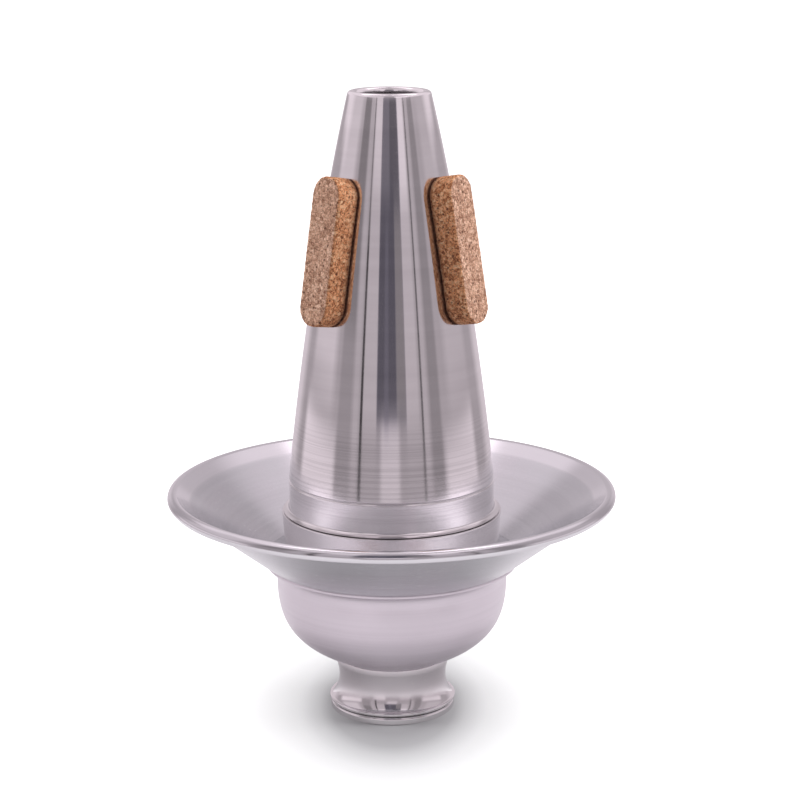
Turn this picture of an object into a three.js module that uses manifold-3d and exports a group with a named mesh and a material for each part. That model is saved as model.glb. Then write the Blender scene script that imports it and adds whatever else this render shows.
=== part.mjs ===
// Adjustable cup mute for a trumpet: a straight mute of spun aluminium that slides and turns in a
// footed cup. Millimetres, +Z up. The origin is the centre of the foot, on the surface it stands on.
// Outlines are drawn as (radius, height), each in its own piece's frame, and run anticlockwise
// round the metal.

import * as THREE from 'three';
import { mergeVertices } from 'three/addons/utils/BufferGeometryUtils.js';
import Module from 'manifold-3d';

const wasm = await Module();
wasm.setup();

// Sizes that every piece shares
const sheet = 0.9;
const seatGap = 0.3;
const turnGap = 0.5;
const edgeRadius = 0.4;
const cutOverrun = 3;
const roundSteps = 44;
const rivetSteps = 20;

// Foot
const footRadius = 17.2;
const footTopRadius = 15.35;
const footHeight = 14.6;
const footTopHeight = 1.2;
const footWaistRadius = 14.05;
const footEdgeHeight = 1.1;

// Base that closes the foot
const baseInset = 0.3;
const baseHeight = 2.2;
const baseCornerRadius = 0.4;
const basePlugHeight = 1.3;
const baseDishRadius = 12.4;
const baseDishDepth = 0.6;

// Rivet that holds the foot to the bowl
const rivetRadius = 2.2;
const rivetHeadRadius = 4.5;
const rivetHeadHeight = 1.5;
const rivetTailRadius = 3.8;
const rivetTailHeight = 1.2;

// Bowl of the cup
const bowlHeight = 27.2;
const bowlRoom = 0.7;
const bowlFloorRadius = 15.8;
const bowlFloorRise = 0.3;
const bowlLipWidth = 3;
const bowlLipDrop = 4.4;

// Felt lining between the drum and the bowl
const liningHeight = 5.5;
const liningDepth = 0.8;

// Brim of the cup
const brimRadius = 60.2;
const brimRise = 16.5;
const brimOverhang = 0.3;
const brimBeadRadius = 1.65;

// Cone of the straight mute
const coneHeight = 111.25;
const coneRadius = 27.5;
const mouthRadius = 10.95;
const mouthBeadRadius = 0.9;
const skirtDepth = 4;
const coneLipWidth = 1.6;
const coneLipHeight = 2.3;
const coneBandHeight = 6;
const creaseWidth = 0.8;
const creaseDepth = 0.3;

// End drum of the straight mute
const drumEdgeStep = 0.4;
const drumTaper = 2.1;
const drumHeight = 34.25;
const drumCornerRadius = 6;

// Corks
const corkLength = 38.5;
const corkWidth = 10.4;
const corkThickness = 6.2;
const corkCornerRadius = 4;
const corkBelowMouth = 20.15;
const leftCorkDegrees = -46.7;
const rightCorkDegrees = 55.5;
const backCorkDegrees = 180 + (leftCorkDegrees + rightCorkDegrees) / 2;

// Curve handles, as shares of the width and height that each curve spans
const footFlareShares = { lowUp: 0.17, highDown: 0.36 };
const bellyShares = { reach: 0.79, lift: 0.236, drop: 0.5 };
const brimShares = { out: 0.61, up: 0.69 };
const brimEdgeShare = 0.54;
const coneShares = { lowIn: 0.22, lowUp: 0.34, highOut: 0.41, highDown: 0.29 };
const coneLipShares = { in: 0.85, up: 0.35 };

const spunMetal = { color: 0xb9b7bb, roughness: 0.22, metalness: 1 };
const brushedMetal = { color: 0xaaa8ac, roughness: 0.38, metalness: 1 };
const pressedCork = { color: 0xb5805f, roughness: 0.9, metalness: 0 };
const darkFelt = { color: 0x3a3634, roughness: 1, metalness: 0 };

const point = (radius, height) => new THREE.Vector2(radius, height);

// Points along a path that the callback draws.
function trace(curveSteps, draw) {
  const path = new THREE.Path();
  draw(path);
  return path.getPoints(curveSteps);
}

// The outline moved to the left of its own direction, as the far face of a sheet lies. Its ends
// are cut level or upright, whichever is nearer to square.
function offsetOutline(outline, distance) {
  return outline.map((here, index) => {
    const before = outline[index - 1];
    const after = outline[index + 1];
    const arriving = before ? here.clone().sub(before).normalize() : null;
    const leaving = after ? after.clone().sub(here).normalize() : null;
    const along = arriving ?? leaving;
    const side = arriving && leaving
      ? leftOf(arriving.clone().add(leaving).normalize())
      : squareSide(along);
    const mitre = side.dot(leftOf(along));
    return here.clone().addScaledVector(side, distance / mitre);
  });
}

function leftOf(heading) {
  return point(-heading.y, heading.x);
}

function squareSide(heading) {
  const steep = Math.abs(heading.y) > Math.abs(heading.x);
  return steep ? point(-Math.sign(heading.y), 0) : point(0, Math.sign(heading.x));
}

// A sheet whose far end is rolled into a bead on the left of its skin.
function rolledSheet(skin, inside, beadRadius, beadSteps) {
  const end = skin[skin.length - 1];
  const heading = end.clone().sub(skin[skin.length - 2]).normalize();
  const centre = end.clone().addScaledVector(leftOf(heading), beadRadius);
  const free = inside.filter((place) => place.distanceTo(centre) > beadRadius);
  const from = end.clone().sub(centre).angle();
  const until = free[free.length - 1].clone().sub(centre).angle();
  const turn = THREE.MathUtils.euclideanModulo(until - from, 2 * Math.PI);
  const bead = [];
  for (let step = 1; step < beadSteps; step += 1) {
    const angle = from + (turn * step) / beadSteps;
    const arm = point(Math.cos(angle), Math.sin(angle));
    bead.push(centre.clone().addScaledVector(arm, beadRadius));
  }
  return [...skin, ...bead, ...free.toReversed()];
}

// Radius of a rising outline at a height.
function radiusAt(outline, height) {
  const next = outline.findIndex((place) => place.y > height);
  const high = outline[next];
  const low = outline[next - 1];
  return THREE.MathUtils.mapLinear(height, low.y, high.y, low.x, high.x);
}

// Height of an outline that runs outwards at a radius, level beyond its ends.
function heightAt(outline, radius) {
  const next = outline.findIndex((place) => place.x > radius);
  if (next < 1) {
    return next === 0 ? outline[0].y : outline[outline.length - 1].y;
  }
  const far = outline[next];
  const near = outline[next - 1];
  return THREE.MathUtils.mapLinear(radius, near.x, far.x, near.y, far.y);
}

// A closed outline turned about the Z axis.
function turnedRing(outline) {
  const closed = [...outline, outline[0].clone()];
  return new THREE.LatheGeometry(closed, roundSteps).rotateX(Math.PI / 2);
}

// An outline that starts and ends on the axis, turned about it.
function turnedSolid(outline, steps = roundSteps) {
  return new THREE.LatheGeometry(outline, steps).rotateX(Math.PI / 2);
}

function toSolid(geometry) {
  const bare = geometry.clone();
  bare.deleteAttribute('normal');
  bare.deleteAttribute('uv');
  const merged = mergeVertices(bare);
  return new wasm.Manifold(new wasm.Mesh({
    numProp: 3,
    vertProperties: new Float32Array(merged.attributes.position.array),
    triVerts: new Uint32Array(merged.index.array),
  }));
}

function toGeometry(solid) {
  const mesh = solid.getMesh();
  const geometry = new THREE.BufferGeometry();
  geometry.setAttribute('position', new THREE.BufferAttribute(mesh.vertProperties, 3));
  geometry.setIndex(new THREE.BufferAttribute(mesh.triVerts, 1));
  geometry.computeVertexNormals();
  return geometry;
}

function piece(name, geometry, look, height = 0) {
  const mesh = new THREE.Mesh(geometry, new THREE.MeshStandardMaterial(look));
  mesh.name = name;
  mesh.position.z = height;
  return mesh;
}

// Foot: a flat top with a rivet hole and a waisted neck that flares to an edge above the base.
const rivetBore = rivetRadius + seatGap;
const footEdgeTop = baseHeight + seatGap + footEdgeHeight;
const neckTop = footHeight - footTopHeight;
const footSkin = trace(9, (path) => {
  const rise = neckTop - footEdgeTop;
  path.moveTo(footRadius, footEdgeTop);
  path.bezierCurveTo(
    footWaistRadius, footEdgeTop + rise * footFlareShares.lowUp,
    footWaistRadius, neckTop - rise * footFlareShares.highDown,
    footTopRadius, neckTop,
  );
  path.lineTo(footTopRadius, footHeight);
  path.lineTo(rivetBore, footHeight);
});
const footInside = offsetOutline(footSkin, sheet);

// Base: a dished disc with a rounded edge and a plug that centres it in the foot.
function baseOutline() {
  const baseRadius = footRadius - baseInset;
  const plugTop = baseHeight + basePlugHeight;
  const plugRadius = radiusAt(footInside, plugTop) - seatGap;
  return trace(2, (path) => {
    path.moveTo(0, baseDishDepth);
    path.lineTo(baseDishRadius, baseDishDepth);
    path.lineTo(baseDishRadius + baseDishDepth, 0);
    path.lineTo(baseRadius - baseCornerRadius, 0);
    path.absarc(baseRadius - baseCornerRadius, baseCornerRadius, baseCornerRadius, -Math.PI / 2, 0);
    path.lineTo(baseRadius, baseHeight);
    path.lineTo(plugRadius, baseHeight);
    path.lineTo(plugRadius, plugTop);
    path.lineTo(plugRadius - sheet, plugTop);
    path.lineTo(plugRadius - sheet, sheet);
    path.lineTo(baseDishRadius + baseDishDepth / 2, sheet);
    path.lineTo(baseDishRadius - baseDishDepth / 2, sheet + baseDishDepth);
    path.lineTo(0, sheet + baseDishDepth);
  });
}

// Radii of the drum follow from the lip of the cone that covers its edge.
const coneLipRadius = coneRadius + coneLipWidth;
const drumTopRadius = coneLipRadius + drumEdgeStep;
const drumBottomRadius = drumTopRadius - drumTaper;

// Bowl: a flat floor with a rivet hole, a round belly, a straight wall and a flared lip.
const bowlBottom = footHeight + seatGap;
const bowlRadius = drumTopRadius + bowlRoom + sheet;
const bowlSkin = trace(6, (path) => {
  const lipUnderside = bowlHeight - sheet;
  const wallTop = lipUnderside - bowlLipDrop;
  const width = bowlRadius - bowlFloorRadius;
  const depth = wallTop - bowlFloorRise;
  path.moveTo(rivetBore, 0);
  path.lineTo(bowlFloorRadius - bowlFloorRise, 0);
  path.lineTo(bowlFloorRadius, bowlFloorRise);
  path.bezierCurveTo(
    bowlFloorRadius + width * bellyShares.reach, bowlFloorRise + depth * bellyShares.lift,
    bowlRadius, wallTop - depth * bellyShares.drop,
    bowlRadius, wallTop,
  );
  path.quadraticCurveTo(bowlRadius, lipUnderside, bowlRadius + bowlLipWidth, lipUnderside);
});
const bowlInside = offsetOutline(bowlSkin, sheet);

// Rivet: its head on the bowl's floor and its tail under the foot's top.
function rivetOutline() {
  const grip = sheet + seatGap + sheet + 2 * seatGap;
  const tailTop = rivetTailHeight;
  const headBottom = tailTop + grip;
  return trace(4, (path) => {
    path.moveTo(0, 0);
    path.lineTo(rivetTailRadius - edgeRadius, 0);
    path.lineTo(rivetTailRadius, edgeRadius);
    path.lineTo(rivetTailRadius, tailTop);
    path.lineTo(rivetRadius, tailTop);
    path.lineTo(rivetRadius, headBottom);
    path.lineTo(rivetHeadRadius, headBottom);
    path.quadraticCurveTo(
      rivetHeadRadius, headBottom + rivetHeadHeight,
      0, headBottom + rivetHeadHeight,
    );
  });
}
const rivetBottom = footHeight - sheet - seatGap - rivetTailHeight;

// Drum: the tapered end of the straight mute, closed by a flat bottom with a round corner.
const drumSkin = trace(3, (path) => {
  path.moveTo(0, 0);
  path.lineTo(drumBottomRadius - drumCornerRadius, 0);
  path.absarc(drumBottomRadius - drumCornerRadius, drumCornerRadius, drumCornerRadius, -Math.PI / 2, 0);
  path.lineTo(drumTopRadius, drumHeight);
});
const drumInside = offsetOutline(drumSkin, sheet);
const drumBottom = bowlBottom + drumStandingHeight();

// How high the drum stands in the bowl when its corner meets the belly.
function drumStandingHeight() {
  const belly = offsetOutline(bowlSkin, sheet + seatGap);
  const bellyBelowDrum = belly.filter((place) => place.x < drumBottomRadius);
  const corner = drumSkin.filter((place) => place.x <= drumBottomRadius);
  return Math.max(
    ...bellyBelowDrum.map((place) => place.y - heightAt(drumSkin, place.x)),
    ...corner.map((place) => heightAt(belly, place.x) - place.y),
  );
}

// Lining: fills the room between the drum's taper and the bowl's wall.
const liningBottom = bowlBottom + bowlHeight - liningDepth - liningHeight;
function liningOutline() {
  const outer = radiusAt(bowlInside, liningBottom - bowlBottom) - seatGap;
  const lowInner = radiusAt(drumSkin, liningBottom - drumBottom) + seatGap;
  const highInner = radiusAt(drumSkin, liningBottom + liningHeight - drumBottom) + seatGap;
  return [
    point(lowInner, 0),
    point(outer, 0),
    point(outer, liningHeight),
    point(highInner, liningHeight),
  ];
}

// Brim: a flat ring on the bowl's lip that sweeps out and up to a rolled edge.
const brimBottom = bowlBottom + bowlHeight + seatGap;
const brimHoleRadius = radiusAt(drumSkin, brimBottom + sheet - drumBottom) + turnGap;
const brimBendRadius = bowlRadius + bowlLipWidth + brimOverhang;
const brimSkin = trace(8, (path) => {
  const sweepRadius = brimRadius - brimBeadRadius * brimEdgeShare;
  const sweep = sweepRadius - brimBendRadius;
  path.moveTo(brimHoleRadius, 0);
  path.lineTo(brimBendRadius, 0);
  path.quadraticCurveTo(
    brimBendRadius + sweep * brimShares.out, brimRise * brimShares.up,
    sweepRadius, brimRise,
  );
});

// Cone: a skirt in the drum, a lip over the drum's edge, a band, a crease and the tapering wall.
const coneBottom = drumHeight + seatGap;
const creaseBottom = coneLipHeight + coneBandHeight;
const wallBottom = creaseBottom + creaseWidth;
const coneWall = trace(8, (path) => {
  const narrowing = coneRadius - mouthRadius;
  const rise = coneHeight - wallBottom;
  path.moveTo(coneRadius, wallBottom);
  path.bezierCurveTo(
    coneRadius - narrowing * coneShares.lowIn, wallBottom + rise * coneShares.lowUp,
    mouthRadius + narrowing * coneShares.highOut, coneHeight - rise * coneShares.highDown,
    mouthRadius, coneHeight,
  );
});

function coneOutline() {
  const skirtRadius = radiusAt(drumInside, drumHeight - skirtDepth) - seatGap;
  const lipFoot = trace(3, (path) => {
    path.moveTo(skirtRadius, -skirtDepth);
    path.lineTo(skirtRadius, 0);
    path.lineTo(coneLipRadius - edgeRadius, 0);
    path.lineTo(coneLipRadius, edgeRadius);
    path.quadraticCurveTo(
      coneLipRadius - coneLipWidth * coneLipShares.in, coneLipHeight * coneLipShares.up,
      coneRadius, coneLipHeight,
    );
    path.lineTo(coneRadius, creaseBottom);
    path.lineTo(coneRadius - creaseDepth, creaseBottom + creaseWidth / 2);
  });
  const inside = [
    point(skirtRadius - sheet, -skirtDepth),
    point(skirtRadius - sheet, 0),
    point(coneRadius - creaseDepth - sheet, coneLipHeight),
    ...offsetOutline(coneWall, sheet),
  ];
  return rolledSheet([...lipFoot, ...coneWall], inside, mouthBeadRadius, 7);
}

// Cork: a strip with round corners and a flat face, its back cut to the cone.
function corkPad() {
  const top = coneHeight - corkBelowMouth;
  const middle = top - corkLength / 2;
  const bottom = top - corkLength;
  const lean = Math.atan((radiusAt(coneWall, bottom) - radiusAt(coneWall, top)) / corkLength);
  const half = point(corkWidth / 2, corkLength / 2);
  const corner = corkCornerRadius;
  const outline = new THREE.Shape();
  outline.absarc(half.x - corner, half.y - corner, corner, 0, Math.PI / 2);
  outline.absarc(corner - half.x, half.y - corner, corner, Math.PI / 2, Math.PI);
  outline.absarc(corner - half.x, corner - half.y, corner, Math.PI, 1.5 * Math.PI);
  outline.absarc(half.x - corner, corner - half.y, corner, 1.5 * Math.PI, 2 * Math.PI);
  const strip = new THREE.ExtrudeGeometry(outline, {
    depth: corkThickness + cutOverrun - edgeRadius,
    curveSegments: 5,
    bevelThickness: edgeRadius,
    bevelSize: edgeRadius,
    bevelOffset: -edgeRadius,
    bevelSegments: 1,
  });
  strip.translate(0, 0, -cutOverrun);
  strip.rotateX(Math.PI / 2 - lean);
  strip.translate(0, -radiusAt(coneWall, middle), middle);
  const bed = turnedSolid([
    point(0, coneWall[0].y),
    ...offsetOutline(coneWall, -seatGap),
    point(0, coneHeight),
  ]);
  return toGeometry(toSolid(strip).subtract(toSolid(bed)));
}

function straightMute() {
  const mute = new THREE.Group();
  mute.position.z = drumBottom;
  mute.add(piece('end_drum', turnedSolid([...drumSkin, ...drumInside.toReversed()]), brushedMetal));
  mute.add(piece('cone_shell', turnedRing(coneOutline()), spunMetal, coneBottom));
  const corkDegrees = {
    cork_left: leftCorkDegrees,
    cork_right: rightCorkDegrees,
    cork_back: backCorkDegrees,
  };
  const pad = corkPad();
  for (const [name, degrees] of Object.entries(corkDegrees)) {
    const cork = piece(name, pad, pressedCork, coneBottom);
    cork.rotation.z = THREE.MathUtils.degToRad(degrees);
    mute.add(cork);
  }
  return mute;
}

function cup() {
  const brimInside = offsetOutline(brimSkin, sheet);
  const brimOutline = rolledSheet(brimSkin, brimInside, brimBeadRadius, 7);
  const stand = new THREE.Group();
  stand.add(piece('foot_base', turnedSolid(baseOutline()), brushedMetal));
  stand.add(piece('foot_shell', turnedRing([...footSkin, ...footInside.toReversed()]), spunMetal));
  stand.add(piece('foot_rivet', turnedSolid(rivetOutline(), rivetSteps), brushedMetal, rivetBottom));
  stand.add(piece('cup_bowl', turnedRing([...bowlSkin, ...bowlInside.toReversed()]), brushedMetal,
    bowlBottom));
  stand.add(piece('friction_lining', turnedRing(liningOutline()), darkFelt, liningBottom));
  stand.add(piece('cup_brim', turnedRing(brimOutline), spunMetal, brimBottom));
  return stand;
}

const trumpetMute = new THREE.Group();
trumpetMute.add(cup(), straightMute());

export default trumpetMute;
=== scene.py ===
# Adjustable cup mute for a trumpet, standing on its foot on a white table.
# Every metal piece is turned from an outline of (radius, height) points, in metres.
import math

import bmesh
import bpy
from mathutils import Matrix, Vector, noise
from mathutils.geometry import interpolate_bezier


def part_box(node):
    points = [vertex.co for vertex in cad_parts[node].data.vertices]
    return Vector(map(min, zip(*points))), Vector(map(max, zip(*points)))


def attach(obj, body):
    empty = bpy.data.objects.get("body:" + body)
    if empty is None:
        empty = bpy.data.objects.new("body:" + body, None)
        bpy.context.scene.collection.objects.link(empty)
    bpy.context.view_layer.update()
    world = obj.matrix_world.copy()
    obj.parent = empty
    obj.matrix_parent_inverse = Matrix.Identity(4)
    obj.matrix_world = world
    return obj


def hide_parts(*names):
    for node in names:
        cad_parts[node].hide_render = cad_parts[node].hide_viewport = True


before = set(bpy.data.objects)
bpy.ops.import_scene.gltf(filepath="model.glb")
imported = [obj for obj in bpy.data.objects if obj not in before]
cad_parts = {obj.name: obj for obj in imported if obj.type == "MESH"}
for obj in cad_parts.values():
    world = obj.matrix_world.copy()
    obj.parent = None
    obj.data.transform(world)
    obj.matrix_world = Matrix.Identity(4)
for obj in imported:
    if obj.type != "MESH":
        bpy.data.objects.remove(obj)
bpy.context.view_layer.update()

# What all the turned pieces share
turning = {"segments": 256, "sheet": 0.0009, "cornerRadius": 0.0002, "cutShare": 0.45, "sharpDegrees": 28,
           "guard": 0.0003, "guardRoom": 0.0012, "lap": 0.00026, "beadClear": 1.02, "sameSpot": 1e-6}


# Outlines

def rz(radius, height):
    return Vector((radius, height))


def cubic(start, handleOne, handleTwo, end, steps=36):
    points = interpolate_bezier(*(p.to_3d() for p in (start, handleOne, handleTwo, end)), steps + 1)
    return [p.to_2d() for p in points]


def quadratic(start, handle, end, steps=24):
    return cubic(start, start.lerp(handle, 2 / 3), end.lerp(handle, 2 / 3), end, steps)


def arcPoints(centre, radius, fromAngle, toAngle, steps=12):
    angles = [fromAngle + (toAngle - fromAngle) * i / steps for i in range(steps + 1)]
    return [centre + radius * rz(math.cos(a), math.sin(a)) for a in angles]


def leftOf(direction):
    return rz(-direction.y, direction.x)


def joinPoints(*runs):
    outline = []
    for run in runs:
        for p in run if isinstance(run, list) else [run]:
            if not outline or (p - outline[-1]).length > turning["sameSpot"]:
                outline.append(p)
    return outline


def offsetOutline(outline, distance):
    # moves the outline to the left of its own direction, with its ends cut level or upright
    moved = []
    last = len(outline) - 1
    for i, here in enumerate(outline):
        arriving = (here - outline[i - 1]).normalized() if i > 0 else None
        leaving = (outline[i + 1] - here).normalized() if i < last else None
        along = arriving or leaving
        if arriving and leaving:
            side = leftOf((arriving + leaving).normalized())
        elif abs(along.y) > abs(along.x):
            side = rz(-math.copysign(1, along.y), 0)
        else:
            side = rz(0, math.copysign(1, along.x))
        moved.append(here + side * (distance / side.dot(leftOf(along))))
    return moved


def radiusAt(outline, height):
    for low, high in zip(outline, outline[1:]):
        if low.y <= height <= high.y:
            return low.x + (high.x - low.x) * (height - low.y) / max(high.y - low.y, 1e-9)
    return outline[-1].x


def clearOfBead(outline, centre, beadRadius):
    return [p for p in outline if (p - centre).length > beadRadius * turning["beadClear"]]


def rolledEdge(skin, inside, beadRadius):
    # rolls the far end of a sheet into a bead on the left of its skin
    heading = (skin[-1] - skin[-2]).normalized()
    centre = skin[-1] + leftOf(heading) * beadRadius
    free = clearOfBead(inside, centre, beadRadius)
    start = skin[-1] - centre
    end = free[-1] - centre
    startAngle = math.atan2(start.y, start.x)
    sweep = (math.atan2(end.y, end.x) - startAngle) % (2 * math.pi)
    bead = arcPoints(centre, beadRadius, startAngle, startAngle + sweep, steps=40)
    return joinPoints(skin, bead[1:-1], free[::-1])


def roundCorners(outline, closed):
    # breaks every hard corner with a small round, as a deburred edge has
    radius = turning["cornerRadius"]
    guard = turning["guard"]
    count = len(outline)
    rounded = []
    for i, here in enumerate(outline):
        if not closed and i in (0, count - 1):
            rounded.append(here)
            continue
        before = here - outline[i - 1]
        after = outline[(i + 1) % count] - here
        turn = before.angle(after, 0)
        if turn < math.radians(turning["sharpDegrees"]):
            rounded.append(here)
            continue
        room = min(before.length, after.length) * turning["cutShare"]
        cut = min(radius * math.tan(turn / 2), room)
        start = here - before.normalized() * cut
        end = here + after.normalized() * cut
        if before.length > turning["guardRoom"]:
            rounded.append(start - before.normalized() * guard)
        rounded += quadratic(start, here, end, steps=4)
        if after.length > turning["guardRoom"]:
            rounded.append(end + after.normalized() * guard)
    return rounded


def newObject(name, mesh):
    data = bpy.data.meshes.new(name)
    mesh.to_mesh(data)
    mesh.free()
    made = bpy.data.objects.new(name, data)
    bpy.context.collection.objects.link(made)
    return made


def turnedMesh(name, outline, closed=True):
    outline = roundCorners(outline, closed)
    segments = turning["segments"]
    angles = [2 * math.pi * k / segments for k in range(segments)]
    mesh = bmesh.new()
    rings = []
    for p in outline:
        if p.x < turning["sameSpot"]:
            rings.append([mesh.verts.new((0, 0, p.y))])
        else:
            rings.append([mesh.verts.new((p.x * math.sin(a), -p.x * math.cos(a), p.y)) for a in angles])
    pairs = list(zip(rings, rings[1:]))
    if closed:
        pairs.append((rings[-1], rings[0]))
    for low, high in pairs:
        for k in range(segments):
            after = (k + 1) % segments
            corners = [low[k % len(low)], low[after % len(low)], high[after % len(high)], high[k % len(high)]]
            mesh.faces.new(list(dict.fromkeys(corners)))
    for face in mesh.faces:
        face.smooth = True
    return newObject(name, mesh)


# Short ways to add, set and join shader nodes

class NodeDesk:

    def __init__(self, tree):
        self.tree = tree

    def feed(self, socket, value):
        if isinstance(value, bpy.types.NodeSocket):
            self.tree.links.new(value, socket)
        else:
            socket.default_value = value

    def add(self, kind, values=None, **settings):
        node = self.tree.nodes.new(kind)
        for key, value in settings.items():
            setattr(node, key, value)
        for key, value in (values or {}).items():
            self.feed(node.inputs[key], value)
        return node

    def math(self, operation, first, second=0.0, third=None):
        values = {0: first, 1: second}
        if third is not None:
            values[2] = third
        return self.add("ShaderNodeMath", values, operation=operation).outputs[0]

    def remap(self, value, low, high, toLow=0.0, toHigh=1.0):
        values = {"Value": value, "From Min": low, "From Max": high, "To Min": toLow, "To Max": toHigh}
        return self.add("ShaderNodeMapRange", values).outputs["Result"]

    def noiseTone(self, place, values, **settings):
        return self.add("ShaderNodeTexNoise", {"Vector": place, **values}, **settings).outputs["Fac"]

    def mixColor(self, factor, first, second):
        return self.add("ShaderNodeMix", {0: factor, 6: first, 7: second}, data_type="RGBA").outputs[2]

    def ramp(self, factor, stops):
        node = self.add("ShaderNodeValToRGB", {"Fac": factor})
        elements = node.color_ramp.elements
        while len(elements) < len(stops):
            elements.new(0.5)
        for element, (place, tone) in zip(elements, stops):
            element.position = place
            element.color = (*tone, 1)
        return node.outputs["Color"]

    def group(self, tree, **values):
        node = self.add("ShaderNodeGroup", node_tree=tree)
        for key, value in values.items():
            self.feed(node.inputs[key], value)
        return node.outputs

    def objectPlace(self):
        return self.add("ShaderNodeTexCoord").outputs["Object"]


def newGroup(name, inputs, outputs):
    tree = bpy.data.node_groups.new(name, "ShaderNodeTree")
    for label, value in inputs.items():
        tree.interface.new_socket(label, in_out="INPUT", socket_type="NodeSocketFloat").default_value = value
    for label in outputs:
        tree.interface.new_socket(label, in_out="OUTPUT", socket_type="NodeSocketFloat")
    desk = NodeDesk(tree)
    entry = desk.add("NodeGroupInput").outputs
    exits = desk.add("NodeGroupOutput").inputs
    return tree, desk, entry, exits


def newMaterial(name):
    material = bpy.data.materials.new(name)
    material.use_nodes = True
    return material, NodeDesk(material.node_tree), material.node_tree.nodes["Principled BSDF"].inputs


# Effects that the materials share: sizes in metres, scales in cells per metre
spinning = {"axisRadius": 0.0005, "noise": {"Scale": 1.0, "Detail": 3.0, "Roughness": 0.6}}


def makeTurningLines():
    # fine rings that a spinning tool leaves, which drift a little on their way round the axis
    tree, desk, entry, exits = newGroup(
        "turningLines", {"fineSpacing": 0.0003, "coarseSpacing": 0.003, "ringSpacing": 0.0005, "drift": 0.5},
        ["fine", "coarse", "ring"])
    split = desk.add("ShaderNodeSeparateXYZ", {0: desk.objectPlace()}).outputs
    square = desk.math("MULTIPLY", split["X"], split["X"])
    radius = desk.math("SQRT", desk.math("MULTIPLY_ADD", split["Y"], split["Y"], square))
    safeRadius = desk.math("MAXIMUM", radius, spinning["axisRadius"])
    cosine = desk.math("MULTIPLY", desk.math("DIVIDE", split["X"], safeRadius), entry["drift"])
    sine = desk.math("MULTIPLY", desk.math("DIVIDE", split["Y"], safeRadius), entry["drift"])
    for label in ("fine", "coarse", "ring"):
        across = desk.math("DIVIDE", radius, entry[label + "Spacing"])
        along = desk.math("DIVIDE", split["Z"], entry[label + "Spacing"])
        spot = desk.add("ShaderNodeCombineXYZ", {"X": across, "Y": along, "Z": cosine}).outputs[0]
        values = {"W": sine, **spinning["noise"]}
        desk.feed(exits[label], desk.noiseTone(spot, values, noise_dimensions="4D"))
    return tree


handling = {
    "cloud": {"Detail": 5.0, "Distortion": 0.6}, "cloudLow": 0.45, "cloudHigh": 0.72,
    # two turns and the stretch of each set of scratches
    "scratches": [(0.5, 0.3, 70.0), (1.1, 2.0, 50.0), (2.3, 1.2, 90.0)], "scratchTilt": 0.4,
    "lines": {"Scale": 1.0, "Detail": 1.0}, "scratchWidth": 2600.0, "scratchLow": 0.72, "scratchHigh": 0.8,
}


def makeHandlingMarks():
    # soft smudges from fingers and a few fine scratches
    tree, desk, entry, exits = newGroup(
        "handlingMarks", {"smudgeSize": 0.02, "scratchAmount": 0.5}, ["smudges", "scratches"])
    place = desk.objectPlace()
    scale = desk.math("DIVIDE", 1.0, entry["smudgeSize"])
    cloud = desk.noiseTone(place, {"Scale": scale, **handling["cloud"]})
    desk.feed(exits["smudges"], desk.remap(cloud, handling["cloudLow"], handling["cloudHigh"]))
    marks = None
    width = handling["scratchWidth"]
    for turnX, turnZ, stretch in handling["scratches"]:
        values = {"Vector": place, "Rotation": (turnX, handling["scratchTilt"], turnZ),
                  "Scale": (stretch, width, width)}
        turned = desk.add("ShaderNodeMapping", values).outputs[0]
        line = desk.noiseTone(turned, handling["lines"])
        line = desk.remap(line, handling["scratchLow"], handling["scratchHigh"])
        marks = line if marks is None else desk.math("MAXIMUM", marks, line)
    desk.feed(exits["scratches"], desk.math("MULTIPLY", marks, entry["scratchAmount"]))
    return tree


def makeHeightBand():
    # a mask that is 1 between two heights above the table, measured at rest
    tree, desk, entry, exits = newGroup("heightBand", {"low": 0.0, "high": 0.1, "fade": 0.005}, ["mask"])
    height = desk.add("ShaderNodeSeparateXYZ", {0: desk.objectPlace()}).outputs["Z"]
    rising = desk.remap(height, desk.math("SUBTRACT", entry["low"], entry["fade"]), entry["low"])
    falling = desk.remap(height, entry["high"], desk.math("ADD", entry["high"], entry["fade"]), 1.0, 0.0)
    desk.feed(exits["mask"], desk.math("MULTIPLY", rising, falling))
    return tree


grain = {
    "wobble": {"Scale": 1400.0, "Detail": 2.0}, "wobbleReach": (0.0005, 0.0005, 0.0005),
    "seamCore": 0.02, "seamEdge": 0.16, "pitCore": 0.25, "pitEdge": 0.5,
    "crumbs": {"Scale": 2600.0, "Detail": 4.0}, "crumbTone": 0.7,
    "crumbRise": 0.5, "seamRise": -0.5, "pitRise": -1.0,
}


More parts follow.
